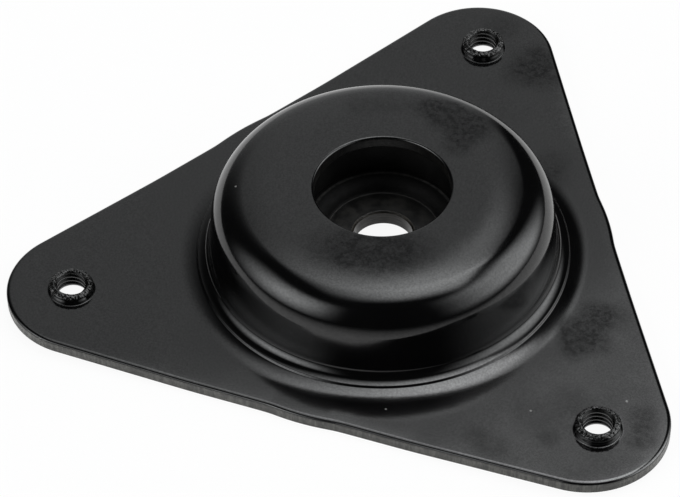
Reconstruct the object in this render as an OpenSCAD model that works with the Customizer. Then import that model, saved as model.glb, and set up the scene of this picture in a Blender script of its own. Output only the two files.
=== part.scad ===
// Strut mount: a pressed steel top plate with a drawn dome, and a rod plate held in it by bonded rubber.
// The origin is on the dome's axis, in the plate's upper face, which bears on the vehicle's body.
// Sections of revolved shapes are drawn as radius and height, with heights taken from the plate's underside.

/* [Plate] */
// Diameter of the circle through the three screw centres
bolt_circle_d = 150; // [140:1:165]
// Thickness of the steel sheet
sheet_t = 3; // [2.5:0.1:3.4]
// Radius of each ear's round end
ear_r = 19.3; // [17:0.1:21]
// Distance of the round end's centre inside the screw centre
ear_offset = 3.9; // [0:0.1:6]
// Upward slope of the ears, in degrees
ear_slope = 2; // [0.5:0.1:3]
// Radius of the swell at the middle of each side, from the dome's axis
waist_r = 55.4; // [54.9:0.1:57]

/* [Dome] */
// Outside diameter of the dome's straight wall
dome_d = 81.6; // [76:0.2:84]
// Height of the dome's top above the plate's underside
dome_h = 24.6; // [22.6:0.1:28]
// Outside radius of the dome's shoulder
shoulder_r = 10.2; // [8:0.1:12]
// Diameter of the hole in the dome's top
mouth_d = 32.4; // [28:0.2:35]
// Rounding of the hole's upper edge
mouth_edge_r = 0.6; // [0.2:0.1:1.2]

/* [Foot of the dome] */
// Radius of the hollow between the wall and the step
root_r = 4.4; // [4:0.1:6]
// Radial distance from the wall to the step's edge
ledge_w = 3.65; // [3:0.05:4]
// Height of the step
step_h = 0.4; // [0.2:0.05:0.8]
// Radial width of the step's sloping face
step_w = 0.25; // [0.1:0.05:0.5]
// Radius of the flare that rises from the plate to the step
flare_r = 12; // [8:0.5:16]
// Slope of the flare where it meets the step, in degrees
flare_angle = 18; // [10:1:24]

/* [Screw collars] */
// Outside diameter of a collar
collar_d = 10.5; // [9.6:0.1:12]
// Height of a collar above the ear's upper face
collar_h = 2.2; // [1.6:0.1:4]
// Diameter of the hole before tapping, 6.8 for an M8 thread
tap_d = 6.8; // [6:0.1:7.4]
// Radius at the collar's foot
collar_root_r = 0.8; // [0.3:0.1:1.2]
// Rounding of the hole's lower edge, drawn in as the collar is pulled up
collar_entry_r = 1.2; // [0.5:0.1:1.8]
// Chamfer at the thread's upper end
thread_lead = 0.4; // [0.2:0.1:0.7]

/* [Rod plate] */
// Diameter of the hole for the piston rod
rod_hole_d = 14.2; // [10:0.1:16]
// Chamfer of the rod hole's upper edge
rod_hole_chamfer = 0.4; // [0.2:0.1:0.8]
// Thickness of the rod plate
rod_plate_t = 4; // [3:0.1:5]
// Height of the seat's upper face above the plate's underside
seat_z = 8.6; // [7.5:0.1:9]
// Diameter of the flat seat for the rod's nut
seat_d = 26.6; // [22:0.2:29]
// Rise from the seat to the flange
dish_h = 2.9; // [2:0.1:3.5]
// Inside radius of the bends between seat and flange
dish_bend_r = 1; // [0.5:0.1:2]
// Diameter of the flange that the rubber grips
flange_d = 54; // [48:0.5:58]

/* [Rubber body] */
// Width of the flange's flat rim that the rubber leaves bare
bare_rim_w = 0.3; // [0.1:0.1:1.5]
// Radius of the relief groove round the rubber's underside
groove_r = 2.8; // [1.5:0.1:3.2]

/* [Hidden] */
$fn = 96;
// Cutters and helper shapes reach this far past the shape that they trim
over = 1;
// Width of the flat ring round the dome's flare, and from there to the bend of each ear
flat_ring_w = 1;
// Rounded edges at a collar go this far into the sheet where the sloping ear is nearest to them
sink = 0.05;
// The level sheet and a sloping ear reach into each other by this much at their bend
bend_lap = 0.4;
// The straight sides lie this far inside the ears' round ends, so that they cross them cleanly
side_inset = 0.002;
ear_angles = [90, 210, 330];
bolt_r = bolt_circle_d / 2;

dome_r = dome_d / 2;
dome_inner_r = dome_r - sheet_t;
mouth_r = mouth_d / 2;
shoulder_c = [dome_r - shoulder_r, dome_h - shoulder_r];
shoulder_inner_r = shoulder_r - sheet_t;
cap_z = dome_h - sheet_t;

// The flare climbs from the plate to the foot of the step
flare_run = flare_r * sin(flare_angle);
flare_rise = flare_r * (1 - cos(flare_angle));
step_top = [dome_r + ledge_w, sheet_t + flare_rise + step_h];
step_foot = [step_top.x + step_w, sheet_t + flare_rise];
flare_c = [fine(step_foot.x + flare_run), sheet_t + flare_r];
// The step's sloping face is drawn past both of its ends, into the metal below and the air above
step_low = 2 * step_foot - step_top;
step_high = 2 * step_top - step_foot;
// The hollow starts at the step's edge and ends upright against the wall
root_c = [dome_r + root_r, fine(step_top.y + sqrt(root_r ^ 2 - (root_r - ledge_w) ^ 2))];
// The bend under the dome's foot runs from the inner wall to the underside
bend_r = root_c.y;
bend_c = [dome_inner_r + bend_r, bend_r];
join_r = fine(max(flare_c.x, bend_c.x) + flat_ring_w);

// Each ear slopes up from a bend outside the flat ring; its two faces bend at slightly different distances
fold_r = join_r + flat_ring_w;
fold_top_r = fold_r - sheet_t * tan(ear_slope / 2);
ear_reach = bolt_r + ear_r;
ear_lift = fine((bolt_r - fold_r) * tan(ear_slope));

collar_r = collar_d / 2;
tap_r = tap_d / 2;
collar_top_z = sheet_t + collar_h;
collar_foot_r = collar_r + collar_root_r;
collar_root_c = [collar_foot_r, sheet_t + collar_root_r - fine(collar_foot_r * tan(ear_slope) + sink)];
entry_edge_r = tap_r + collar_entry_r;
collar_entry_c = [entry_edge_r, collar_entry_r - fine(entry_edge_r * tan(ear_slope) + sink)];

rod_hole_r = rod_hole_d / 2;
seat_r = seat_d / 2;
flange_r = flange_d / 2;
flange_z = seat_z + dish_h;
// Two equal bends, up and then level again, climb from the seat to the flange
dish_mid_r = dish_bend_r + rod_plate_t / 2;
dish_angle = acos(1 - dish_h / 2 / dish_mid_r);
dish_low_c = [seat_r, seat_z + dish_bend_r];
dish_high_c = [seat_r + 2 * dish_mid_r * sin(dish_angle), flange_z - rod_plate_t - dish_bend_r];

rubber_bore_r = dish_high_c.x + bare_rim_w;
rubber_low_z = seat_z - rod_plate_t;
rubber_skirt_z = root_c.y;
groove_c = [(flange_r + dome_inner_r) / 2, (rubber_low_z + rubber_skirt_z) / 2];

// Unit vector at an angle
function heading(a) = [cos(a), sin(a)];

// A length rounded to a thousandth, so that edges that share it meet exactly
function fine(x) = round(x * 1000) / 1000;

// Rectangle between two opposite corners
module block(low, high) {
  translate(low) square(high - low);
}

// Quarter of a disc about c, on the side that the signs in toward give
module quarter(c, r, toward) {
  side = r + over;
  translate(c) intersection() {
    circle(r);
    translate([min(toward.x, 0) * side, min(toward.y, 0) * side]) square(side);
  }
}

// Moves what is drawn on the plate's underside to the part's own frame
module in_frame() {
  translate([0, 0, -sheet_t]) children();
}

// Places its children on each screw centre, at the height of the sloping ear
module at_screws() {
  for (a = ear_angles) translate(concat(bolt_r * heading(a), ear_lift)) children();
}

// Outline of the blank: three round ears, straight sides and a slight swell on each side
module plate_outline() {
  ear_c_r = bolt_r - ear_offset;
  for (a = ear_angles) translate(ear_c_r * heading(a)) circle(ear_r);
  side_r = ear_r - side_inset;
  polygon([for (a = ear_angles) for (side = [-60, 60]) ear_c_r * heading(a) + side_r * heading(a + side)]);
  circle(waist_r);
}

// Section along an ear of its sloping sheet, which starts inside the level sheet
module ear_profile() {
  rise = tan(ear_slope);
  polygon([
    [fold_r + bend_lap, bend_lap * rise],
    [ear_reach, (ear_reach - fold_r) * rise],
    [ear_reach, sheet_t + (ear_reach - fold_top_r) * rise],
    [fold_top_r - bend_lap, sheet_t - bend_lap * rise],
  ]);
}

// Sheet before it is trimmed: a level triangle, with an ear sloping up from each of its sides
module bent_sheet() {
  corner_r = 2 * (fold_r + 2 * bend_lap);
  linear_extrude(sheet_t) polygon([for (a = ear_angles) corner_r * heading(a + 60)]);
  for (a = ear_angles) {
    rotate(a) rotate([90, 0, 0]) linear_extrude(2 * ear_reach, center = true) ear_profile();
  }
}

// Sheet with its three sloping ears, open where the dome is drawn
module plate_sheet() {
  intersection() {
    translate([0, 0, -over]) linear_extrude(2 * (sheet_t + over)) difference() {
      plate_outline();
      circle(join_r);
    }
    bent_sheet();
  }
}

// Everything below the sheet's upper face at the dome's foot, up to where the straight wall starts
module foot_profile() {
  block([0, 0], [join_r, sheet_t]);
  difference() {
    block([0, 0], [flare_c.x, root_c.y]);
    translate(flare_c) circle(flare_r);
  }
  difference() {
    polygon([[0, 0], [step_low.x, 0], step_low, step_high, [step_high.x, root_c.y], [0, root_c.y]]);
    translate(root_c) circle(root_r);
  }
}

// Section of the dome, from the flat ring at its foot to the hole in its top
module dome_section() {
  intersection() {
    foot_profile();
    union() {
      quarter(bend_c, bend_r, [-1, -1]);
      block([bend_c.x, 0], [join_r, root_c.y]);
    }
  }
  block([dome_inner_r, root_c.y], [dome_r, shoulder_c.y]);
  difference() {
    quarter(shoulder_c, shoulder_r, [1, 1]);
    translate(shoulder_c) circle(shoulder_inner_r);
  }
  block([mouth_r + mouth_edge_r, cap_z], [shoulder_c.x, dome_h]);
  block([mouth_r, cap_z], [mouth_r + mouth_edge_r, dome_h - mouth_edge_r]);
  quarter([mouth_r, dome_h] + mouth_edge_r * [1, -1], mouth_edge_r, [-1, 1]);
}

// Section of a collar's metal, from inside the sheet to the rim
module collar_body() {
  difference() {
    block([0, sheet_t / 2], collar_root_c);
    translate(collar_root_c) circle(collar_root_r);
  }
  block([0, sheet_t / 2], [collar_r, collar_top_z]);
}

// Section of a collar's hole, with its chamfer above and its rounded edge below
module collar_bore() {
  block([0, -over], [tap_r, collar_top_z + over]);
  polygon([
    [0, collar_top_z - thread_lead],
    [tap_r, collar_top_z - thread_lead],
    [tap_r + thread_lead + over, collar_top_z + over],
    [0, collar_top_z + over],
  ]);
  difference() {
    block([0, -over], collar_entry_c);
    translate(collar_entry_c) circle(collar_entry_r);
  }
}

// Bend of the rod plate about c, from the direction start round by dish_angle
module dish_bend(c, start) {
  reach = 2 * (dish_bend_r + rod_plate_t);
  translate(c) intersection() {
    difference() {
      circle(dish_bend_r + rod_plate_t);
      circle(dish_bend_r);
    }
    polygon([[0, 0], reach * heading(start), reach * heading(start + dish_angle)]);
  }
}

// Section of the rod plate: chamfered rod hole, seat, two bends and flange
module rod_plate_section() {
  polygon([
    [rod_hole_r, seat_z - rod_plate_t],
    [seat_r, seat_z - rod_plate_t],
    [seat_r, seat_z],
    [rod_hole_r + rod_hole_chamfer, seat_z],
    [rod_hole_r, seat_z - rod_hole_chamfer],
  ]);
  dish_bend(dish_low_c, -90);
  dish_bend(dish_high_c, 90);
  block([dish_high_c.x, flange_z - rod_plate_t], [flange_r, flange_z]);
}

// The space that the rubber fills inside the dome, open at its bore
module rubber_mould() {
  polygon([
    [rubber_bore_r, rubber_low_z],
    [flange_r, rubber_low_z],
    [dome_inner_r, rubber_skirt_z],
    [dome_inner_r, shoulder_c.y],
    [rubber_bore_r, shoulder_c.y],
  ]);
  block([rubber_bore_r, shoulder_c.y], [shoulder_c.x, cap_z]);
  quarter(shoulder_c, shoulder_inner_r, [1, 1]);
}

// One pressing: plate, drawn dome and three tapped collars
module top_plate() {
  color([0.12, 0.12, 0.125]) in_frame() {
    difference() {
      union() {
        plate_sheet();
        at_screws() rotate_extrude() collar_body();
      }
      at_screws() rotate_extrude() collar_bore();
    }
    rotate_extrude() dome_section();
  }
}

// Moulded ring, bonded to the dome and round the rod plate's flange
module rubber_body() {
  color([0.06, 0.06, 0.06]) in_frame() rotate_extrude() difference() {
    rubber_mould();
    block([0, flange_z - rod_plate_t], [flange_r, flange_z]);
    translate(groove_c) circle(groove_r);
  }
}

// Pressed disc with a dished seat and the rod hole
module rod_plate() {
  color([0.3, 0.3, 0.3]) in_frame() rotate_extrude() rod_plate_section();
}

top_plate();
rubber_body();
rod_plate();
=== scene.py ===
import math

import bmesh
import bpy
import numpy as np
from mathutils import Matrix, Vector, noise
from mathutils.geometry import delaunay_2d_cdt
from mathutils.kdtree import KDTree


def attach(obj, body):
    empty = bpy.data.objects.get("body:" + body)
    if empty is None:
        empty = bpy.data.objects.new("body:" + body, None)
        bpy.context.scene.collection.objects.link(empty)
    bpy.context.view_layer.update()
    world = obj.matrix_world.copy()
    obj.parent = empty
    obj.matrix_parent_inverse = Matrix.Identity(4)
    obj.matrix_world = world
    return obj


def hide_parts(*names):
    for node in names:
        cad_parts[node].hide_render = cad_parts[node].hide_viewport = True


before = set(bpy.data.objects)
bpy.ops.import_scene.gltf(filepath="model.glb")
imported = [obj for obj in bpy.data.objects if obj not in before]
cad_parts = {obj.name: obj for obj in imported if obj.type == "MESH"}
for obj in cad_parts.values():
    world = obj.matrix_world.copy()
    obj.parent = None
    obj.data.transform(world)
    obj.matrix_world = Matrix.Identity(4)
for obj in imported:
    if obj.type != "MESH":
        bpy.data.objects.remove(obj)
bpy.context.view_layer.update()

scene = bpy.context.scene
scene.view_settings.view_transform = "Standard"

MM = 0.001

# Sizes of the solids in millimetres, with heights from the plate's upper face
SHEET = 3.0
BOLT_R = 75.0
EAR_R = 19.3
EAR_CENTRE_R = 71.1
EAR_RISE = math.tan(math.radians(2))
FOLD_R = 50.38
SWELL_R = 55.4
CAP_Z = 21.6
CAP_UNDER_Z = CAP_Z - SHEET
MOUTH_R = 16.2
CAVITY_R = 37.8
CAVITY_ROUND = 7.2
ROOT_UNDER_R = 8.323
SKIRT_Z = ROOT_UNDER_R - SHEET
DRILL_R = 3.4
PITCH = 1.25
THREAD_FLARE = 0.22
COLLAR_TOP_Z = 2.05
ENTRY_ROUND = 1.2
ENTRY_Z = ENTRY_ROUND - SHEET
RUBBER_BORE_R = 18.739
FLANGE_R = 27.0
FLANGE_Z = 8.5
FLANGE_UNDER_Z = 4.5
DISH_R = 18.44
SEAT_R = 13.3
SEAT_Z = 5.6
SEAT_UNDER_Z = 1.6
ROD_HOLE_R = 7.1
EARS = [math.radians(a) for a in (90, 210, 330)]

# How much further than the left collar each one is pulled up, in the order of the ears
COLLAR_LIFTS = (0.2, 0.0, 0.4)

# Radii at which the dome and the collars join the plate's mesh
JOIN_R = 50.3
COLLAR_JOIN_R = 7.05

# Columns of the revolved meshes
DOME_COLUMNS = 240
COLLAR_COLUMNS = 144
INNER_COLUMNS = 176
FLOOR_COLUMNS = 48

# Angles round a collar and the height of its thread's start at each
COLLAR_TURN = np.linspace(0, 2 * math.pi, COLLAR_COLUMNS + 1)
THREAD_CLIMB = 0.3 + COLLAR_TURN / (2 * math.pi) * PITCH

# Numbers of the top plate's and the rod plate's materials
PAINT, EDGE, RIM, CREST, MOUTH, GROOVE = range(6)
SEAT_PAINT, HOLE_WALL, FILM = range(3)

# Studio
CAM_AZ = math.radians(20.412)
FLOOR_Z = -3.08

# Smudges on the paint: x, y, z and radius in millimetres and weight
CAP_SMUDGES = [
    (-3.4, -22.7, 21.6, 10, 0.6), (2.6, -22.3, 21.6, 11, 0.65), (8.1, -20.7, 21.6, 11, 0.65),
    (13.1, -17.6, 21.6, 10, 0.5), (8.4, 27.8, 21.2, 9, 1), (4.1, 29.4, 21.0, 7, 0.9),
    (12.9, 25.7, 20.5, 8, 1), (12, 19, 21.6, 6, 0.7), (-8.1, 27.6, 20.8, 6, 0.4),
    (-1, 29.3, 20.9, 6, 0.4), (-14.6, 24.5, 20.9, 6, 0.35),
]
RIGHT_SMUDGES = [
    (52, -12, 0.1, 6, 0.9), (49.5, -9, 0.1, 5.5, 0.8), (54.5, -8, 0.2, 6, 0.9), (53, -15.5, 0.2, 5.5, 0.7),
    (54, -3, 0.2, 6, 0.9), (58, -12.5, 0.3, 5, 0.6), (58, -3, 0.3, 6, 0.5), (44, -50, 0.3, 5.5, 0.5),
    (39.4, -48, 0.2, 4.5, 0.4), (55.3, -43.7, 0.4, 4, 0.55), (75, -37, 0.8, 5.5, 0.7),
    (73.6, -31, 0.8, 5.5, 0.7), (57, -31, 0.5, 7, 0.4), (50, -38, 0.2, 8, 0.35),
    (29, 41, 0, 7, 0.5), (31, 36, 0, 6, 0.4),
]
BACK_SMUDGES = [
    (13, 74, 0.8, 8, 0.6), (18, 70.6, 0.8, 8, 0.7), (12, 68.8, 0.6, 7, 0.5), (15.5, 78.7, 1, 6, 0.5),
    (2, 83.7, 0.9, 7, 0.4),
]

# Bits of dust on the plate, in the same form
DUST = [
    (-65.6, -54.5, 0.6, 0.5, 1), (49, -36.9, 0.2, 0.45, 1),
    (17.7, -47.2, 0.1, 0.4, 0.7), (68.8, -27.3, 0.7, 0.5, 1),
]


# Camera at the photograph's angle
def turn_pair(p, q, angle):
    """Two directions at right angles, both turned from the first towards the second."""
    return p * math.cos(angle) + q * math.sin(angle), q * math.cos(angle) - p * math.sin(angle)


def make_camera():
    el, roll = math.radians(46.15), math.radians(-0.712)
    dist, focal = 695.766, 2901.092
    width, height = 680, 497
    origin_x, origin_y = 383.274, 249.491
    back = Vector((math.sin(CAM_AZ) * math.cos(el), -math.cos(CAM_AZ) * math.cos(el), math.sin(el)))
    ahead = -back
    right = ahead.cross(Vector((0, 0, 1))).normalized()
    up = right.cross(ahead)
    right, up = turn_pair(right, up, roll)
    u = (origin_x - width / 2) / focal
    v = (height / 2 - origin_y) / focal
    right, ahead = turn_pair(right, ahead, math.atan(u))
    up, ahead = turn_pair(up, ahead, math.atan2(v, math.sqrt(1 + u * u)))
    data = bpy.data.cameras.new("camera")
    data.sensor_width = 36
    data.lens = focal / width * data.sensor_width
    data.clip_start = 0.01
    cam = bpy.data.objects.new("camera", data)
    scene.collection.objects.link(cam)
    pose = Matrix((right, up, -ahead)).transposed().to_4x4()
    pose.translation = back * dist * MM
    cam.matrix_world = pose
    scene.camera = cam


# Mesh tools
class Sheet:
    """Vertices in millimetres and faces, each face with the number of its material."""

    def __init__(self):
        self.verts = []
        self.faces = []
        self.mats = []
        self.count = 0

    def add(self, points, faces, mats):
        self.verts.append(np.asarray(points, float).reshape(-1, 3))
        self.faces += [[i + self.count for i in f] for f in faces]
        self.mats += list(mats)
        self.count += len(self.verts[-1])

    def grid(self, rows, mats, closed=True):
        """rows has the shape rows, columns, 3; mats is a number for all or one for each band of faces."""
        rows = np.asarray(rows, float)
        n, m = rows.shape[:2]
        bands = [mats] * (n - 1) if isinstance(mats, int) else mats
        faces, marks = [], []
        for i in range(n - 1):
            for j in range(m if closed else m - 1):
                k = (j + 1) % m
                faces.append((i * m + j, i * m + k, (i + 1) * m + k, (i + 1) * m + j))
                marks.append(bands[i])
        self.add(rows, faces, marks)

    def build(self, name, materials, merge=0.004, shift=None):
        points = np.concatenate(self.verts)
        if shift is not None:
            points = points + shift(points)
        mesh = bpy.data.meshes.new(name)
        mesh.from_pydata((points * MM).tolist(), [], self.faces)
        for m in materials:
            mesh.materials.append(m)
        mesh.polygons.foreach_set("material_index", self.mats)
        bm = bmesh.new()
        bm.from_mesh(mesh)
        bmesh.ops.remove_doubles(bm, verts=bm.verts, dist=merge * MM)
        bmesh.ops.dissolve_degenerate(bm, edges=bm.edges, dist=merge * MM * 0.2)
        bmesh.ops.recalc_face_normals(bm, faces=bm.faces)
        bm.to_mesh(mesh)
        bm.free()
        mesh.polygons.foreach_set("use_smooth", [True] * len(mesh.polygons))
        obj = bpy.data.objects.new(name, mesh)
        scene.collection.objects.link(obj)
        return obj


def arc(cx, cz, r, start, end, n):
    """Points of an arc in a section, angles in degrees."""
    return [(cx + r * math.cos(a), cz + r * math.sin(a)) for a in np.radians(np.linspace(start, end, n))]


def line(p, q, n):
    return [(p[0] + (q[0] - p[0]) * t, p[1] + (q[1] - p[1]) * t) for t in np.linspace(0, 1, n)]


def corner(p, c, q, reach, n=5):
    """Rounds the corner c between p and q."""
    p, c, q = (np.asarray(x, float) for x in (p, c, q))
    a = c + (p - c) / np.linalg.norm(p - c) * reach
    b = c + (q - c) / np.linalg.norm(q - c) * reach
    return [tuple((1 - t) ** 2 * a + 2 * t * (1 - t) * c + t * t * b) for t in np.linspace(0, 1, n)]


def bend(start, a, b, r, n):
    """Points of a hollow arc that rises inwards from a start, with the slope in degrees at both ends."""
    x, z = start[0] + r * math.sin(math.radians(a)), start[1] + r * math.cos(math.radians(a))
    return [(x - r * math.sin(t), z - r * math.cos(t)) for t in np.radians(np.linspace(a, b, n))]


def revolve(section, columns):
    section = np.asarray(section, float)
    a = np.linspace(0, 2 * math.pi, columns, endpoint=False)
    r, z = section[:, :1], section[:, 1:]
    return np.stack([r * np.cos(a), r * np.sin(a), z + 0 * a], -1)


def heading(a):
    return np.array([math.cos(a), math.sin(a)])


def grain(x, y, z, seed=0.0):
    return noise.noise(Vector((x + seed, y - seed, z + 0.37 * seed)))


# Top plate
def plate_edge():
    """Points round the blank's outline and their outward normals."""
    half = EAR_CENTRE_R * math.sin(math.radians(60))
    flat = EAR_CENTRE_R * 0.5 + EAR_R
    bulge, blend = 14, 0.2
    run_in = np.linspace(-half, -bulge, 36)[1:-1]
    run = np.concatenate([run_in, np.linspace(-bulge, bulge, 41), -run_in[::-1]])
    points = []
    for a in EARS:
        for t in np.radians(np.linspace(-60, 60, 48)):
            points.append(EAR_CENTRE_R * heading(a) + EAR_R * heading(a + t))
        out = heading(a + math.radians(60))
        side = np.array([-out[1], out[0]])
        for t in run:
            swell = math.sqrt(max(SWELL_R ** 2 - t * t, 0))
            points.append(out * 0.5 * (flat + swell + math.hypot(flat - swell, blend)) + side * t)
    points = np.array(points)
    along = np.roll(points, -1, 0) - np.roll(points, 1, 0)
    along /= np.linalg.norm(along, axis=1, keepdims=True)
    return points, np.stack([along[:, 1], -along[:, 0]], 1)


def circle(c, r, n):
    a = np.linspace(0, 2 * math.pi, n, endpoint=False)
    return np.stack([c[0] + r * np.cos(a), c[1] + r * np.sin(a)], 1)


def fill(sheet, loops, z, spacing, mat):
    """Triangles between an outline and its holes, with points spread over the face."""
    edge = np.concatenate(loops)
    tree = KDTree(len(edge))
    for i, p in enumerate(edge):
        tree.insert((p[0], p[1], 0), i)
    tree.balance()
    low, high = loops[0].min(0), loops[0].max(0)
    row_gap, edge_gap = spacing * 0.866, spacing * 0.7
    inside = []
    for j, y in enumerate(np.arange(low[1], high[1], row_gap)):
        for x in np.arange(low[0] + (j % 2) * spacing / 2, high[0], spacing):
            if tree.find((x, y, 0))[2] > edge_gap:
                inside.append((x, y))
    points = np.concatenate([edge, np.array(inside)])
    edges, start = [], 0
    for loop in loops:
        n = len(loop)
        edges += [(start + i, start + (i + 1) % n) for i in range(n)]
        start += n
    made = delaunay_2d_cdt([Vector(p) for p in points], edges, [], 1, 1e-6)
    flat = np.array([(p.x, p.y) for p in made[0]])
    slack = 0.006
    holes = [(np.zeros(2), JOIN_R - slack)]
    holes += [(BOLT_R * heading(a), COLLAR_JOIN_R - slack) for a in EARS]
    faces = []
    for f in made[2]:
        middle = flat[list(f)].mean(0)
        if all(math.hypot(*(middle - c)) >= r for c, r in holes):
            faces.append(f)
    sheet.add(np.c_[flat, np.full(len(flat), z)], faces, [mat] * len(faces))


def dome_section():
    """Section of the dome over its top and back along the underside, with its bands of material."""
    step_foot, step_top = (44.70, 0.66), (44.45, 1.06)
    flare_r, flare_slope, foot_r, foot_slope, root_r = 16, 16.5, 4.2, 28, 3.1
    draft, shoulder_r, crown, crown_r, flat_r, mouth_round = 5, 9.2, 82.5, 70, 23.66, 0.6
    flare = arc(49.24, flare_r, flare_r, 270, 270 - flare_slope, 18)
    foot = bend(step_top, 10, foot_slope, foot_r, 9)
    shoulder = arc(31.6, 11.88, shoulder_r, draft, crown, 46)
    round_r, round_z = CAVITY_R - CAVITY_ROUND, CAP_UNDER_Z - CAVITY_ROUND
    out = [(JOIN_R, 0)] + flare[:-1]
    out += corner(flare[-2], step_foot, step_top, 0.14)
    out += corner(step_foot, step_top, foot[1], 0.16, 7)
    out += foot[1:]
    out += bend(out[-1], foot_slope, 90 - draft, root_r, 22)[1:]
    out += line(out[-1], shoulder[0], 7)[1:]
    out += shoulder[1:]
    out += arc(flat_r, CAP_Z - crown_r, crown_r, crown, 90, 18)[1:]
    out += line((flat_r, CAP_Z), (MOUTH_R + mouth_round, CAP_Z), 6)[1:]

    # The cut face starts part way round the mouth's rounded edge
    cut_start = len(out) + 4
    out += arc(MOUTH_R + mouth_round, CAP_Z - mouth_round, mouth_round, 90, 180, 8)[1:]
    out += line((MOUTH_R, CAP_Z - mouth_round), (MOUTH_R, CAP_UNDER_Z + 0.2), 7)[1:]
    cut_end = len(out)
    out += [(MOUTH_R + 0.06, CAP_UNDER_Z + 0.02), (MOUTH_R + 0.2, CAP_UNDER_Z)]
    out += line(out[-1], (round_r, CAP_UNDER_Z), 7)[1:]
    out += arc(round_r, round_z, CAVITY_ROUND, 90, 0, 16)[1:]
    out += line((CAVITY_R, round_z), (CAVITY_R, SKIRT_Z), 3)[1:]
    out += arc(CAVITY_R + ROOT_UNDER_R, SKIRT_Z, ROOT_UNDER_R, 180, 270, 18)[1:]
    out += [(JOIN_R, -SHEET)]
    bands = [MOUTH if cut_start <= i < cut_end else PAINT for i in range(len(out) - 1)]
    return out, bands


def thread_radius(phase):
    """Radius of an M8 internal thread: crest at the drilled hole, 60 degree flanks, rounded root."""
    root, root_edge = 4.0, 3.95
    radii = [DRILL_R, DRILL_R, root_edge, root, root_edge, DRILL_R]
    return np.interp(phase % 1.0, [0, 0.25, 0.55, 0.62, 0.69, 1], radii)


def collar_ring(r, z):
    """A circle round a collar's axis, closed by a repeat of its first point."""
    return np.stack([r * np.cos(COLLAR_TURN), r * np.sin(COLLAR_TURN), 0 * COLLAR_TURN + z], -1)


def collar_wall(seed, lift):
    """Rows of the pulled-up wall and its torn rim, with their bands of material."""
    top, rim_r = COLLAR_TOP_Z + lift, 5.23
    wall = [
        (COLLAR_JOIN_R, 0), (6.2, 0), (5.75, 0), (5.55, 0.015), (5.47, 0.07), (5.43, 0.16),
        (5.42, 0.28), (5.4, 0.4), (5.36, 0.52), (5.29, 0.65), (5.2, 0.78), (5.1, 0.92),
        (5.0, 1.06), (4.94, 1.2), (4.95, 1.33), (5.03, 1.44),
    ]

    # The rim's share of the way from its outer radius to the thread, and its height
    rim = [(0.0, 1.52), (0.08, 1.7), (0.2, 1.88), (0.36, 2.06), (0.52, 2.18), (0.68, 2.24), (0.84, 2.22)]

    def rough(scale, z, offset=0):
        turn = [(scale * math.cos(t), scale * math.sin(t)) for t in COLLAR_TURN]
        return np.array([grain(x, y, z, seed + offset) for x, y in turn])

    rows = [collar_ring(r, z + lift * (z / wall[-1][1]) ** 2) for r, z in wall]
    lip = 0.14 * rough(3, 0) + 0.1 * rough(9, 1)
    inner = np.maximum(thread_radius((THREAD_CLIMB - top) / PITCH), DRILL_R + THREAD_FLARE)
    for share, z in rim:
        torn = 0.18 * rough(7, 4 * share, 5) + 0.15 * rough(17, 9 * share, 9)
        r = rim_r + (inner - rim_r) * share + 0.12 * rough(11, 7 * share, 2)
        rows.append(collar_ring(r, z + lift + lip + torn * min(1, 4 * share + 0.3)))
    rows.append(collar_ring(inner, top))
    return rows, [PAINT] * (len(wall) - 1) + [RIM] * (len(rows) - len(wall))


def collar_thread(lift):
    """Rows of the thread, which fades out below and flares at the top, with their bands of material."""
    top, fade, flaring, crest_share = COLLAR_TOP_Z + lift, 0.5, 0.3, 0.24
    stops = np.array([0, 0.04, 0.21, 0.25, 0.4, 0.53, 0.58, 0.62, 0.66, 0.71, 0.84, 0.96])
    turns = math.ceil((top - ENTRY_Z) / PITCH) + 2
    phases = np.concatenate([stops + i for i in range(-1, turns)])
    rows = []
    for p in phases:
        z = np.clip(THREAD_CLIMB + (2 - p) * PITCH, ENTRY_Z, top)
        r = thread_radius((THREAD_CLIMB - z) / PITCH)
        r = DRILL_R + (r - DRILL_R) * np.clip((z - ENTRY_Z) / fade, 0, 1)
        r = np.maximum(r, DRILL_R + THREAD_FLARE * np.clip((z - top + flaring) / flaring, 0, 1))
        rows.append(collar_ring(r, z))
    # Crest bands get the lighter, shinier material and groove bands the darker, duller one: painted
    # highlight on the crests and painted shade in the grooves
    return rows, [CREST if p % 1 < crest_share else GROOVE for p in phases[:-1]]


def collar_entry():
    """Rows of the rounded entry below."""
    entry = arc(DRILL_R + ENTRY_ROUND, ENTRY_Z, ENTRY_ROUND, 180, 270, 9)
    entry += [(5.8, -SHEET), (COLLAR_JOIN_R, -SHEET)]
    return [collar_ring(r, z) for r, z in entry]


def collar(sheet, at, seed, lift):
    """A pulled-up collar with a torn rim, its thread and the entry below."""
    centre = np.array([at[0], at[1], 0])
    for rows, marks in (collar_wall(seed, lift), collar_thread(lift), (collar_entry(), PAINT)):
        sheet.grid(np.array(rows) + centre, marks, closed=False)


def plate_form(points):
    """Slope of the ears, with a soft bend, and slight unevenness of the pressed sheet outside the dome."""
    out = np.zeros_like(points)
    along = np.max([points[:, 0] * math.cos(a) + points[:, 1] * math.sin(a) for a in EARS], axis=0) - FOLD_R
    soft, dome_r, fade = 3.0, 50, 12
    out[:, 2] = EAR_RISE * np.where(along > soft, along, np.clip(along + soft, 0, None) ** 2 / (4 * soft))
    reach = np.clip((np.hypot(points[:, 0], points[:, 1]) - dome_r) / fade, 0, 1)
    for i in np.nonzero(reach)[0]:
        x, y = points[i, 0], points[i, 1]
        out[i, 2] += reach[i] * (0.05 * grain(x / 26, y / 26, 0.2) + 0.008 * grain(x / 9, y / 9, 3.1))
    return out


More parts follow.
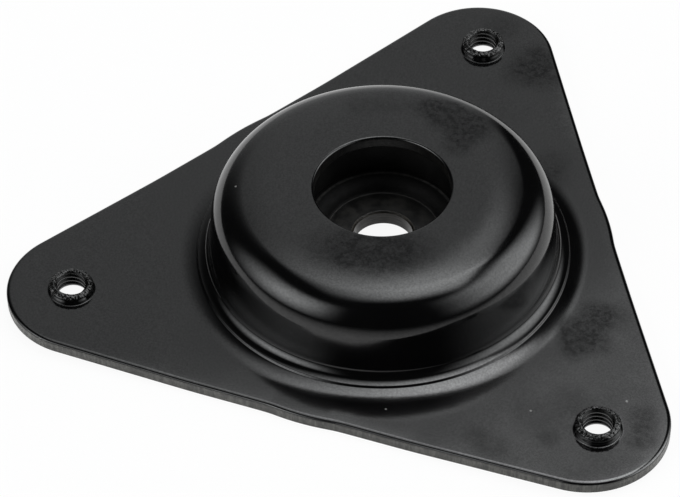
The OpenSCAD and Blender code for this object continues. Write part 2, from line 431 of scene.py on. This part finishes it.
def sheared_edge(sheet):
    """Adds the blank's edge with its rolled corner, rough face and burr, and returns its two outer loops."""
    edge, normal = plate_edge()
    roll_in, roll_drop = 1.05, 0.62
    quarter = np.radians(np.linspace(0, 90, 9))
    roll = [(roll_in * (1 - math.sin(t)), -roll_drop * (1 - math.cos(t))) for t in quarter]
    face = [(0.0, -0.85), (0.01, -1.15), (0.035, -1.3), (0.05, -1.7)]
    face += [(0.055, -2.1), (0.045, -2.5), (0.03, -2.8)]
    burr = [(0.0, -2.93), (0.05, -2.99), (0.16, -SHEET)]
    tear = (len(roll) + 1, len(roll) + 2)
    rows = []
    for i, (inset, z) in enumerate(roll + face + burr):
        ring = np.c_[edge - normal * inset, np.full(len(edge), z)]
        if len(roll) <= i < len(roll) + len(face):
            for k, p in enumerate(ring):
                g = grain(p[0] * 0.9, p[1] * 0.9, z * 1.6) * 0.035 + grain(p[0] * 0.2, p[1] * 0.2, z) * 0.03
                ring[k, :2] += normal[k] * g
                if i in tear:
                    ring[k, 2] += 0.16 * grain(p[0] * 0.13, p[1] * 0.13, 7.7)
        rows.append(ring)
    marks = [PAINT] * (len(roll) - 2) + [EDGE] * (len(face) + 1) + [PAINT] * len(burr)
    sheet.grid(rows, marks)
    return rows[0][:, :2], rows[-1][:, :2]


def make_top_plate(materials):
    sheet = Sheet()
    section, bands = dome_section()
    sheet.grid(revolve(section, DOME_COLUMNS), bands)
    above, below = sheared_edge(sheet)
    holes = [circle((0, 0), JOIN_R, DOME_COLUMNS)]
    for i, a in enumerate(EARS):
        at = BOLT_R * heading(a)
        holes.append(circle(at, COLLAR_JOIN_R, COLLAR_COLUMNS))
        seed = 13.7 + 31.3 * i
        collar(sheet, at, seed, COLLAR_LIFTS[i])
    fill(sheet, [above] + holes, 0, 2.2, PAINT)
    fill(sheet, [below] + holes, -SHEET, 3.0, PAINT)
    plate = sheet.build("pressed_plate", materials, shift=plate_form)
    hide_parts("top_plate")
    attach(plate, "root")


# Rubber and rod plate
def make_rubber(materials):
    bore, round_r, round_z = RUBBER_BORE_R, CAVITY_R - CAVITY_ROUND, CAP_UNDER_Z - CAVITY_ROUND
    groove_at, groove_r, tilt = ((FLANGE_R + CAVITY_R) / 2, (SEAT_UNDER_Z + SKIRT_Z) / 2), 2.8, 19
    section = [(bore, FLANGE_UNDER_Z), (bore, SEAT_UNDER_Z), (FLANGE_R, SEAT_UNDER_Z)]
    section += arc(*groove_at, groove_r, 180 + tilt, tilt, 16)
    section += [(CAVITY_R, SKIRT_Z), (CAVITY_R, round_z)]
    section += arc(round_r, round_z, CAVITY_ROUND, 0, 90, 14)[1:]
    section += [(21.5, CAP_UNDER_Z), (19.6, CAP_UNDER_Z - 0.02)]
    section += corner((19.6, CAP_UNDER_Z), (bore, CAP_UNDER_Z), (bore, CAP_UNDER_Z - 2), 0.7, 6)
    section += line((bore, CAP_UNDER_Z - 0.9), (bore, FLANGE_Z + 1.1), 12)
    section += corner((bore, FLANGE_Z + 1.1), (bore, FLANGE_Z), (bore + 3, FLANGE_Z), 0.35, 5)
    section += [(22, FLANGE_Z), (FLANGE_R, FLANGE_Z), (FLANGE_R, FLANGE_UNDER_Z), (bore, FLANGE_UNDER_Z)]
    sheet = Sheet()
    sheet.grid(revolve(section, INNER_COLUMNS), 0)

    def settle(points):
        """Slight unevenness of the bore's wall above the rod plate."""
        wall_r, wall_z = 20, 8.8
        out = np.zeros_like(points)
        for i, p in enumerate(points):
            r = math.hypot(p[0], p[1])
            if r < wall_r and p[2] > wall_z:
                g = 0.14 * grain(p[0] * 0.22, p[1] * 0.22, p[2] * 0.16) + 0.05 * grain(p[0], p[1], p[2])
                out[i, :2] = p[:2] / r * g
        return out

    rubber = sheet.build("rubber_ring", materials, shift=settle)
    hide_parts("rubber_body")
    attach(rubber, "root")


def make_rod_plate(materials):
    hole, edge_round, chamfer = ROD_HOLE_R, 0.25, 0.4
    tight, wide, slope = 1.0, 5.0, 58.9
    lower, upper = (SEAT_R, SEAT_Z + tight), (DISH_R, FLANGE_UNDER_Z - tight)
    chamfer_top, chamfer_foot = (hole + chamfer, SEAT_Z), (hole, SEAT_Z - chamfer)
    hole_foot = (hole, SEAT_UNDER_Z + edge_round)
    section = arc(hole + edge_round, SEAT_UNDER_Z + edge_round, edge_round, 180, 270, 5)
    section += line((hole + edge_round, SEAT_UNDER_Z), (SEAT_R, SEAT_UNDER_Z), 7)[1:]
    section += arc(*lower, wide, 270, 270 + slope, 12)[1:]
    section += arc(*upper, tight, 90 + slope, 90, 8)[1:]
    section += line((DISH_R, FLANGE_UNDER_Z), (FLANGE_R, FLANGE_UNDER_Z), 4)[1:]
    section += line((FLANGE_R, FLANGE_UNDER_Z), (FLANGE_R, FLANGE_Z), 3)[1:]
    section += line((FLANGE_R, FLANGE_Z), (DISH_R, FLANGE_Z), 5)[1:]
    side = len(section) - 1
    section += arc(*upper, wide, 90, 90 + slope, 14)[1:]
    section += arc(*lower, tight, 270 + slope, 275, 9)[1:]
    seat = len(section) - 1
    section += line((SEAT_R, SEAT_Z), (hole + 0.62, SEAT_Z), 12)[1:]
    plain = len(section) - 1
    section += corner((SEAT_R, SEAT_Z), chamfer_top, chamfer_foot, 0.1, 4)
    section += corner(chamfer_top, chamfer_foot, hole_foot, 0.1, 4)
    section += line((hole, SEAT_Z - 0.7), hole_foot, 12)
    bands = [SEAT_PAINT] * (len(section) - 1)
    bands[side:seat] = [FILM] * (seat - side)
    bands[plain:] = [HOLE_WALL] * (len(bands) - plain)
    sheet = Sheet()
    sheet.grid(revolve(section, INNER_COLUMNS), bands)
    rod = sheet.build("rod_plate_disc", materials)
    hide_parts("rod_plate")
    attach(rod, "root")


# Material tools
class Nodes:
    """Short names for the nodes of one tree."""

    def __init__(self, tree):
        self.tree = tree

    def new(self, kind, **values):
        node = self.tree.nodes.new(kind)
        for k, v in values.items():
            setattr(node, k, v)
        return node

    def feed(self, socket, value):
        if isinstance(value, bpy.types.NodeSocket):
            self.tree.links.new(value, socket)
        else:
            socket.default_value = value

    def math(self, operation, a, b=0.0, clamp=False):
        node = self.new("ShaderNodeMath", operation=operation, use_clamp=clamp)
        self.feed(node.inputs[0], a)
        self.feed(node.inputs[1], b)
        return node.outputs[0]

    def ramp(self, value, a, b, low=0.0, high=1.0, smooth=True):
        node = self.new("ShaderNodeMapRange", interpolation_type="SMOOTHSTEP" if smooth else "LINEAR")
        for socket, v in zip(node.inputs[:5], (value, a, b, low, high)):
            self.feed(socket, v)
        return node.outputs[0]

    def chain(self, operation, *parts):
        total = parts[0]
        for part in parts[1:]:
            total = self.math(operation, total, part)
        return total

    def bell(self, value, centre, width):
        t = self.math("DIVIDE", self.math("SUBTRACT", value, centre), width)
        return self.math("EXPONENT", self.chain("MULTIPLY", t, t, -1.0))

    def vector(self, operation, a, b):
        node = self.new("ShaderNodeVectorMath", operation=operation)
        self.feed(node.inputs[0], a)
        self.feed(node.inputs[1], b)
        return node.outputs["Value"] if operation in ("DISTANCE", "DOT_PRODUCT") else node.outputs["Vector"]

    def from_axis(self, place):
        """Distance from the dome's axis."""
        return self.vector("DISTANCE", self.vector("MULTIPLY", place, (1, 1, 0)), (0, 0, 0))

    def noise(self, place, scale, detail=2.0, rough=0.5, stretch=None):
        if stretch is not None:
            place = self.vector("MULTIPLY", place, stretch)
        node = self.new("ShaderNodeTexNoise")
        self.feed(node.inputs["Vector"], place)
        self.feed(node.inputs["Scale"], scale)
        self.feed(node.inputs["Detail"], detail)
        self.feed(node.inputs["Roughness"], rough)
        return node.outputs["Fac"]

    def colour(self, share, a, b):
        node = self.new("ShaderNodeMix", data_type="RGBA")
        self.feed(node.inputs["Factor"], share)
        self.feed(node.inputs[6], (*a, 1) if isinstance(a, tuple) else a)
        self.feed(node.inputs[7], (*b, 1) if isinstance(b, tuple) else b)
        return node.outputs[2]

    def bump(self, height, strength, distance, normal=None):
        node = self.new("ShaderNodeBump")
        self.feed(node.inputs["Strength"], strength)
        self.feed(node.inputs["Distance"], distance)
        self.feed(node.inputs["Height"], height)
        if normal is not None:
            self.feed(node.inputs["Normal"], normal)
        return node.outputs["Normal"]


def new_material(name):
    material = bpy.data.materials.new(name)
    material.use_nodes = True
    nodes = Nodes(material.node_tree)
    shader = material.node_tree.nodes["Principled BSDF"]
    place = nodes.new("ShaderNodeTexCoord").outputs["Object"]
    return material, nodes, shader, place


def spots(nodes, place, centres):
    """Sum of soft round patches: x, y, z and radius in millimetres and weight."""
    total = None
    for x, y, z, r, w in centres:
        d = nodes.vector("DISTANCE", place, (x * MM, y * MM, z * MM))
        patch = nodes.ramp(d, r * MM, 0.25 * r * MM, 0.0, w)
        total = patch if total is None else nodes.math("ADD", total, patch, clamp=True)
    return total


def smudge_mask(nodes, place):
    patches = spots(nodes, place, CAP_SMUDGES + RIGHT_SMUDGES + BACK_SMUDGES)
    mottle = nodes.ramp(nodes.noise(place, 620, 5, 0.75), 0.38, 0.62, 0.5, 1.0)
    return nodes.math("MULTIPLY", patches, mottle)


def painted_sheen_and_smudge_level(nodes, place, cloud, dull):
    """Specular level: raised on the plate's front and right ear as a painted sheen, lower in smudges, with a
    fine grain.
    """
    off_dome = nodes.ramp(nodes.from_axis(place), 0.0436, 0.0448)
    # Painted sheen: the specular level is raised on the side towards the camera and on the right ear, so the
    # plate looks lighter there
    front = nodes.vector("DOT_PRODUCT", place, (math.sin(CAM_AZ), -math.cos(CAM_AZ), 0))
    ear = nodes.vector("DOT_PRODUCT", place, (math.cos(EARS[2]), math.sin(EARS[2]), 0))
    front_painted_sheen = nodes.ramp(front, 0.03, 0.05, 0.0, 0.6)
    ear_painted_sheen = nodes.ramp(ear, 0.034, 0.064, 0.0, 1.0)
    painted_sheen = nodes.math("MAXIMUM", front_painted_sheen, ear_painted_sheen)
    painted_sheen = nodes.chain("MULTIPLY", painted_sheen, off_dome, nodes.ramp(cloud, 0.25, 0.75, 0.8, 1.1))
    level = nodes.math("ADD", nodes.math("MULTIPLY", painted_sheen, 0.5), 0.5)
    fleck = nodes.ramp(nodes.noise(place, 2300, 3, 0.65), 0.3, 0.7, 0.8, 1.2)
    return nodes.chain("MULTIPLY", level, fleck, nodes.ramp(dull, 0.0, 1.0, 1.0, 0.28, smooth=False))


def speck_mask(nodes, place):
    """A few random specks and the photograph's larger bits of dust."""
    cells = nodes.new("ShaderNodeTexVoronoi")
    nodes.feed(cells.inputs["Vector"], place)
    nodes.feed(cells.inputs["Scale"], 95)
    few = nodes.ramp(cells.outputs["Color"], 0.86, 0.87, smooth=False)
    speck = nodes.math("MULTIPLY", nodes.ramp(cells.outputs["Distance"], 0.032, 0.018), few)
    return nodes.math("ADD", speck, spots(nodes, place, DUST), clamp=True)


def scratch_mask(nodes, place):
    """Hairline scratches in two directions."""
    along = nodes.noise(place, 900, 1, stretch=(1, 0.02, 0.02))
    across = nodes.noise(place, 900, 1, stretch=(0.03, 1, 0.03))
    return nodes.math("ADD", nodes.ramp(along, 0.76, 0.8), nodes.ramp(across, 0.77, 0.81), clamp=True)


def paint_material():
    material, nodes, shader, place = new_material("black_paint")
    cloud = nodes.noise(place, 70, 3)
    peel = nodes.noise(place, 900, 2)
    fine = nodes.noise(place, 4200, 1)
    dull = smudge_mask(nodes, place)
    speck = speck_mask(nodes, place)
    scratch = scratch_mask(nodes, place)
    base = nodes.colour(cloud, (0.0012, 0.0012, 0.0013), (0.0022, 0.0022, 0.0023))
    base = nodes.colour(speck, base, (0.16, 0.16, 0.155))
    nodes.feed(shader.inputs["Base Color"], base)
    nodes.feed(shader.inputs["Specular IOR Level"], painted_sheen_and_smudge_level(nodes, place, cloud, dull))
    rough = nodes.ramp(cloud, 0.3, 0.7, 0.1, 0.13)
    rough = nodes.math("ADD", rough, nodes.math("MULTIPLY", dull, 0.08))
    rough = nodes.math("ADD", rough, nodes.math("MULTIPLY", scratch, 0.05))
    rough = nodes.math("ADD", rough, nodes.math("MULTIPLY", speck, 0.3))
    nodes.feed(shader.inputs["Roughness"], rough)
    normal = nodes.bump(peel, 0.10, 0.00004)
    normal = nodes.bump(fine, 0.06, 0.00001, normal)
    normal = nodes.bump(scratch, 0.05, 0.00001, normal)
    nodes.feed(shader.inputs["Normal"], normal)
    return material


def cut_edge_material(name, low, high, film, shine):
    """Sheared face with drag lines, in a dark to light range and with a film of paint in blotches."""
    material, nodes, shader, place = new_material(name)
    drag = nodes.noise(place, 1600, 3, 0.6, stretch=(1, 1, 0.18))
    blotch = nodes.noise(place, 160, 3)
    pits = nodes.noise(place, 2400, 3, 0.7)
    # Colours run from low to high along the drag lines; on the plate's outer edge this light range is a
    # painted reflection of the white floor
    base = nodes.colour(nodes.ramp(drag, 0.35, 0.7), low, high)
    base = nodes.colour(nodes.ramp(blotch, 0.5, 0.75), base, film)
    nodes.feed(shader.inputs["Base Color"], base)
    shader.inputs["Specular IOR Level"].default_value = shine
    nodes.feed(shader.inputs["Roughness"], nodes.ramp(pits, 0.3, 0.7, 0.3, 0.5))
    normal = nodes.bump(drag, 0.35, 0.00005)
    normal = nodes.bump(pits, 0.25, 0.00003, normal)
    nodes.feed(shader.inputs["Normal"], normal)
    return material


def torn_rim_material():
    material, nodes, shader, place = new_material("torn_rim_paint")
    crumb = nodes.noise(place, 2600, 4, 0.7)
    # The lighter spots in the rim's base colour are painted glints
    painted_glint = nodes.ramp(nodes.noise(place, 2200, 2, 0.6), 0.6, 0.68)
    base = nodes.colour(nodes.ramp(crumb, 0.35, 0.7), (0.0012, 0.0012, 0.0012), (0.004, 0.0039, 0.0037))
    base = nodes.colour(painted_glint, base, (0.05, 0.0495, 0.047))
    nodes.feed(shader.inputs["Base Color"], base)
    nodes.feed(shader.inputs["Roughness"], nodes.ramp(crumb, 0.3, 0.7, 0.14, 0.26))
    normal = nodes.bump(nodes.noise(place, 1250, 1, 0.5), 0.65, 0.0004)
    normal = nodes.bump(crumb, 0.25, 0.00006, normal)
    nodes.feed(shader.inputs["Normal"], normal)
    return material


def thread_material(name, low, high, shine):
    material, nodes, shader, place = new_material(name)
    tool = nodes.noise(place, 1500, 3, 0.6, stretch=(1, 1, 3))
    nodes.feed(shader.inputs["Base Color"], nodes.colour(nodes.ramp(tool, 0.35, 0.7), low, high))
    shader.inputs["Specular IOR Level"].default_value = shine
    nodes.feed(shader.inputs["Roughness"], nodes.ramp(tool, 0.3, 0.7, 0.22, 0.36))
    nodes.feed(shader.inputs["Normal"], nodes.bump(tool, 0.2, 0.00004))
    return material


def rubber_material():
    material, nodes, shader, place = new_material("moulded_rubber")
    cloud = nodes.noise(place, 120, 4, 0.6)
    skin = nodes.noise(place, 1800, 3, 0.6)
    base = nodes.colour(nodes.ramp(cloud, 0.35, 0.7), (0.002, 0.002, 0.002), (0.005, 0.0049, 0.0047))
    nodes.feed(shader.inputs["Base Color"], base)
    shader.inputs["Specular IOR Level"].default_value = 0.2
    nodes.feed(shader.inputs["Roughness"], nodes.ramp(cloud, 0.3, 0.7, 0.42, 0.6))
    nodes.feed(shader.inputs["Normal"], nodes.bump(skin, 0.3, 0.00006))
    return material


def seat_material():
    material, nodes, shader, place = new_material("rod_plate_paint")
    cloud = nodes.noise(place, 260, 4, 0.6)
    grit = nodes.noise(place, 2200, 3, 0.6)
    ring = nodes.from_axis(place)
    worn = nodes.math("MULTIPLY", nodes.ramp(ring, 0.0128, 0.0118), nodes.ramp(ring, 0.0076, 0.009))
    worn = nodes.math("MULTIPLY", worn, nodes.ramp(cloud, 0.35, 0.65))
    turned = nodes.new("ShaderNodeTexWave", wave_type="RINGS", rings_direction="Z")
    nodes.feed(turned.inputs["Vector"], place)
    nodes.feed(turned.inputs["Scale"], 420)
    nodes.feed(turned.inputs["Distortion"], 1.5)
    base = nodes.colour(nodes.ramp(cloud, 0.35, 0.7), (0.002, 0.002, 0.002), (0.006, 0.0058, 0.0054))
    base = nodes.colour(worn, base, (0.013, 0.0124, 0.011))
    nodes.feed(shader.inputs["Base Color"], base)
    shader.inputs["Specular IOR Level"].default_value = 0.25
    nodes.feed(shader.inputs["Roughness"], nodes.ramp(cloud, 0.3, 0.7, 0.34, 0.5))
    normal = nodes.bump(grit, 0.25, 0.00005)
    normal = nodes.bump(turned.outputs["Fac"], 0.06, 0.00004, normal)
    nodes.feed(shader.inputs["Normal"], normal)
    return material


def bore_material():
    material, nodes, shader, place = new_material("rod_hole_wall")
    drag = nodes.noise(place, 1400, 3, 0.6, stretch=(0.12, 0.12, 1.6))
    film = nodes.noise(place, 300, 3)
    base = nodes.colour(nodes.ramp(drag, 0.4, 0.6), (0.004, 0.0036, 0.0028), (0.034, 0.0307, 0.025))
    base = nodes.colour(nodes.ramp(film, 0.5, 0.75), base, (0.007, 0.0061, 0.0048))
    nodes.feed(shader.inputs["Base Color"], base)
    shader.inputs["Specular IOR Level"].default_value = 0.3
    nodes.feed(shader.inputs["Roughness"], nodes.ramp(film, 0.3, 0.7, 0.32, 0.5))
    nodes.feed(shader.inputs["Normal"], nodes.bump(drag, 0.25, 0.00005))
    return material


def film_material():
    """Rubber film left on the dished side of the rod plate, with painted highlight lines at its upper and
    lower bends.
    """
    material, nodes, shader, place = new_material("rubber_film")
    crumb = nodes.noise(place, 700, 4, 0.7)
    ring = nodes.from_axis(place)
    # A thin lighter ring at the upper bend, broken up by the crumb noise, is a painted highlight
    lip = nodes.math("MULTIPLY", nodes.ramp(ring, 0.0172, 0.0176), nodes.ramp(ring, 0.0182, 0.0178))
    lip = nodes.math("MULTIPLY", lip, nodes.ramp(crumb, 0.3, 0.6, 0.3, 1.0))
    base = nodes.colour(nodes.ramp(crumb, 0.35, 0.7), (0.0012, 0.0012, 0.0012), (0.0042, 0.0041, 0.004))
    # A thin lighter ring at the lower bend is a painted highlight too
    rim = nodes.math("MULTIPLY", nodes.ramp(ring, 0.0131, 0.0134), nodes.ramp(ring, 0.0138, 0.0135))
    base = nodes.colour(nodes.math("MAXIMUM", lip, rim), base, (0.034, 0.0335, 0.032))
    nodes.feed(shader.inputs["Base Color"], base)
    shader.inputs["Specular IOR Level"].default_value = 0.12
    nodes.feed(shader.inputs["Roughness"], nodes.ramp(crumb, 0.3, 0.7, 0.5, 0.7))
    nodes.feed(shader.inputs["Normal"], nodes.bump(crumb, 0.35, 0.00012))
    return material


# Studio
def floor_material():
    """White paper, lit for the camera and in reflections, which darken towards the camera."""
    material, nodes, shader, place = new_material("studio_floor")
    nodes.tree.nodes.remove(shader)
    paper = nodes.new("ShaderNodeBsdfDiffuse")
    tone = nodes.noise(place, 30, 2)
    nodes.feed(paper.inputs["Color"], nodes.colour(tone, (0.86, 0.86, 0.86), (0.88, 0.88, 0.88)))
    path = nodes.new("ShaderNodeLightPath").outputs
    near = nodes.vector("DOT_PRODUCT", place, (math.sin(CAM_AZ), -math.cos(CAM_AZ), 0))
    past = nodes.math("MAXIMUM", nodes.math("SUBTRACT", near, 0.062), 0.0)
    fall = nodes.math("EXPONENT", nodes.math("MULTIPLY", past, -13.0))
    white = nodes.new("ShaderNodeEmission")
    nodes.feed(white.inputs["Strength"], nodes.math("MAXIMUM", fall, path["Is Camera Ray"]))
    seen = nodes.chain("MAXIMUM", path["Is Camera Ray"], path["Is Glossy Ray"], path["Is Transmission Ray"])
    mix = nodes.new("ShaderNodeMixShader")
    nodes.feed(mix.inputs[0], nodes.math("MULTIPLY", seen, 0.93))
    nodes.feed(mix.inputs[1], paper.outputs[0])
    nodes.feed(mix.inputs[2], white.outputs[0])

    # From below the floor isn't seen
    clear = nodes.new("ShaderNodeBsdfTransparent")
    sides = nodes.new("ShaderNodeMixShader")
    nodes.feed(sides.inputs[0], nodes.new("ShaderNodeNewGeometry").outputs["Backfacing"])
    nodes.feed(sides.inputs[1], mix.outputs[0])
    nodes.feed(sides.inputs[2], clear.outputs[0])
    nodes.feed(nodes.tree.nodes["Material Output"].inputs["Surface"], sides.outputs[0])
    return material


def make_floor():
    rings = [0.5, 60, 120, 200, 320, 600, 1200, 2600, 5600, 12000]
    sheet = Sheet()
    rows = revolve([(r, FLOOR_Z) for r in rings], FLOOR_COLUMNS)
    sheet.grid(rows, 0)
    sheet.add(rows[0], [list(range(FLOOR_COLUMNS))], [0])
    floor = sheet.build("floor", [floor_material()])
    if floor.data.polygons[0].normal.z < 0:
        floor.data.flip_normals()


def overhead_light(nodes, x, y, z):
    """Softbox laid out on a level ceiling, rightwards and away from the camera, with its spill."""
    high = nodes.math("MAXIMUM", z, 0.3)
    gx = nodes.math("DIVIDE", x, high)
    gy = nodes.math("DIVIDE", y, high)
    slant = nodes.math("MULTIPLY", nodes.math("MINIMUM", nodes.math("SUBTRACT", gy, 0.4), 0.0), 0.4)
    pull = nodes.ramp(gy, 0.5, 0.66, 0.0, 0.08, smooth=False)
    side = nodes.ramp(nodes.chain("ADD", gx, slant, pull), 0.41, 0.27)
    lean = nodes.math("SUBTRACT", gy, nodes.math("MULTIPLY", nodes.math("MAXIMUM", gx, 0.0), 0.12))
    overhead = nodes.chain(
        "MULTIPLY", nodes.ramp(gx, -0.36, 0.1, smooth=False), side, nodes.ramp(lean, -0.3, 0.12),
        nodes.ramp(gy, 0.1, 0.4, 0.82, 1.0), nodes.ramp(gy, 0.85, 0.47), nodes.ramp(z, 0.35, 0.6), 4.6)
    spill = nodes.chain(
        "MULTIPLY", nodes.ramp(gx, 0.04, 0.17), side, nodes.ramp(gy, 1.06, 0.76),
        nodes.ramp(gy, 0.3, 0.6), 1.4)
    return nodes.math("MAXIMUM", overhead, spill)


def side_lights(nodes, x, y, z):
    """A softbox at the left, one at the right and a grey panel behind, laid out by angles in degrees."""
    degrees = 180 / math.pi
    turn = nodes.math("MULTIPLY", nodes.math("ARCTAN2", x, y), degrees)
    rise = nodes.math("MULTIPLY", nodes.math("ARCSINE", z), degrees)
    left = nodes.chain(
        "MULTIPLY", nodes.bell(turn, -117, 29), nodes.bell(rise, 30, 21), nodes.ramp(turn, -158, -134),
        nodes.ramp(turn, -66, -82), nodes.ramp(rise, 0, 8), nodes.ramp(rise, 57, 46), 4.1)
    right = nodes.chain(
        "MULTIPLY", nodes.ramp(turn, 44, 76), nodes.ramp(turn, 150, 92), nodes.ramp(rise, -1, 21),
        nodes.ramp(rise, 64, 46), nodes.ramp(rise, 20, 55, 1.0, 0.86), 3.6)
    aside = nodes.math("MINIMUM", nodes.math("ADD", turn, 5.0), 0.0)
    panel = nodes.chain(
        "MULTIPLY", nodes.bell(aside, 0, 22), nodes.ramp(turn, 21, 9), nodes.ramp(rise, 64, 50), 0.72)
    return nodes.chain("ADD", left, right, panel)


def make_world():
    """Dark studio, whose light depends on the direction alone."""
    world = bpy.data.worlds.new("studio")
    scene.world = world
    world.use_nodes = True
    nodes = Nodes(world.node_tree)
    way = nodes.new("ShaderNodeTexCoord").outputs["Generated"]
    x = nodes.vector("DOT_PRODUCT", way, (math.cos(CAM_AZ), math.sin(CAM_AZ), 0))
    y = nodes.vector("DOT_PRODUCT", way, (-math.sin(CAM_AZ), math.cos(CAM_AZ), 0))
    z = nodes.vector("DOT_PRODUCT", way, (0, 0, 1))
    dim = 0.01
    back = world.node_tree.nodes["Background"]
    back.inputs["Color"].default_value = (0.975, 0.992, 1.0, 1)
    total = nodes.chain("ADD", overhead_light(nodes, x, y, z), side_lights(nodes, x, y, z), dim)
    nodes.feed(back.inputs["Strength"], total)


make_camera()
make_world()
make_floor()
make_top_plate([
    paint_material(),
    # The outer cut face's grey to light colours are a painted reflection of the white floor on the
    # black-painted edge
    cut_edge_material(
        "outer_cut_edge_painted_reflection", (0.032, 0.0315, 0.0285), (0.1, 0.098, 0.088), (0.03, 0.029, 0.026), 0.5),
    torn_rim_material(),
    # Lighter, shinier crests of the thread: painted highlight
    thread_material("thread_crest_painted_highlight", (0.006, 0.006, 0.006), (0.02, 0.0196, 0.0184), 0.6),
    cut_edge_material(
        "mouth_cut_edge", (0.0016, 0.0016, 0.0015), (0.01, 0.0097, 0.0086), (0.001, 0.001, 0.001), 0.25),
    # Darker, duller grooves of the thread: painted shade
    thread_material("thread_groove_painted_shade", (0.001, 0.001, 0.001), (0.003, 0.003, 0.0028), 0.16),
])
make_rubber([rubber_material()])
make_rod_plate([seat_material(), bore_material(), film_material()])
